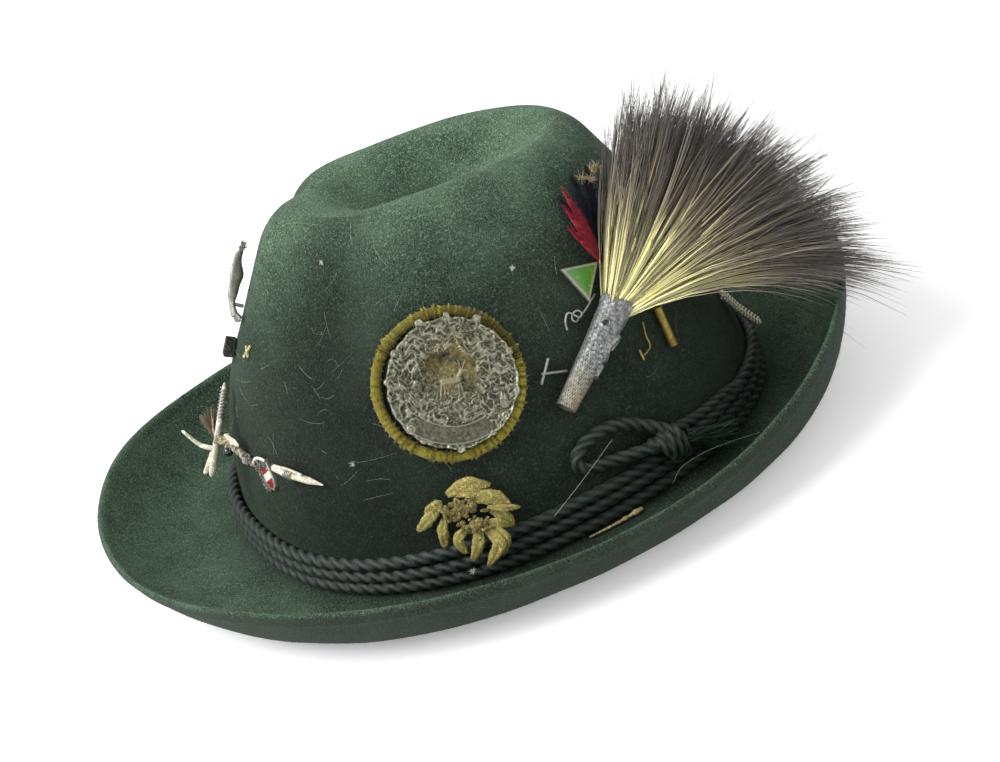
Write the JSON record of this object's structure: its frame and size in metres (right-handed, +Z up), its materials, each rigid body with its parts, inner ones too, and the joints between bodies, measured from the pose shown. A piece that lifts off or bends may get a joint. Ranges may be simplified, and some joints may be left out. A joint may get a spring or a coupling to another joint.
{
  "type": "felt hat",
  "caption": "Green felt alpine hat: curled brim, creased crown, twisted cord band, cast medal, small pins and a fan of brush hair on the left side.",
  "frame": {"origin": "middle of the hat's box, on the floor that the brim rests on", "axes": "-Y is the front of the hat, +X the wearer's left side with the brush, +Z up"},
  "size_m": [0.26, 0.3074, 0.1441],
  "materials": {
    "felt": "wool felt, soft nap",
    "cord": "twisted twine, slight sheen",
    "tassel": "frayed twine",
    "chenille": "fuzzy",
    "pewter": "cast pewter, darkened",
    "wool_flower": "dried, woolly",
    "straw": "dry straw",
    "holder_metal": "cast white metal, tarnished",
    "hair": "animal hair, loose",
    "wire": "dull wire",
    "brass": "tarnished",
    "red_feather": "dyed feather",
    "dark_feather": "feather, faint sheen",
    "green_enamel": "glossy enamel with a silver edge",
    "silver": "silvered, worn",
    "figure_metal": "cast, dull",
    "dark_wedge": "dark, matt",
    "bone": "carved bone",
    "carved_bone": "carved bone with wire",
    "bristle": "stiff bristle",
    "bead": "glossy",
    "red_enamel": "glossy enamel with a silver edge"
  },
  "bodies": {
    "root": {"felt_body": "felt", "cord_lower": "cord", "cord_middle": "cord", "cord_upper": "cord", "cord_loop": "cord", "cord_knot": "cord", "cord_tassel": "tassel", "medal_chenille": "chenille", "medal": "pewter", "edelweiss": "wool_flower", "dry_stalk": "straw", "brush_holder": "holder_metal", "brush_hair": "hair", "brush_wire": "wire", "brush_pin": "wire", "brass_tube": "brass", "tube_hook": "wire", "red_feathers": "red_feather", "dark_feathers": "dark_feather", "pennant_pin": "green_enamel", "braided_pin": "silver", "figure_pin": "figure_metal", "front_wedge": "dark_wedge", "crown_cross": "bone", "badge_sticks": "bone", "badge_bristles": "bristle", "badge_bead": "bead", "shield_pin": "red_enamel", "axe_pin": "carved_bone"}
  },
  "joints": []
}
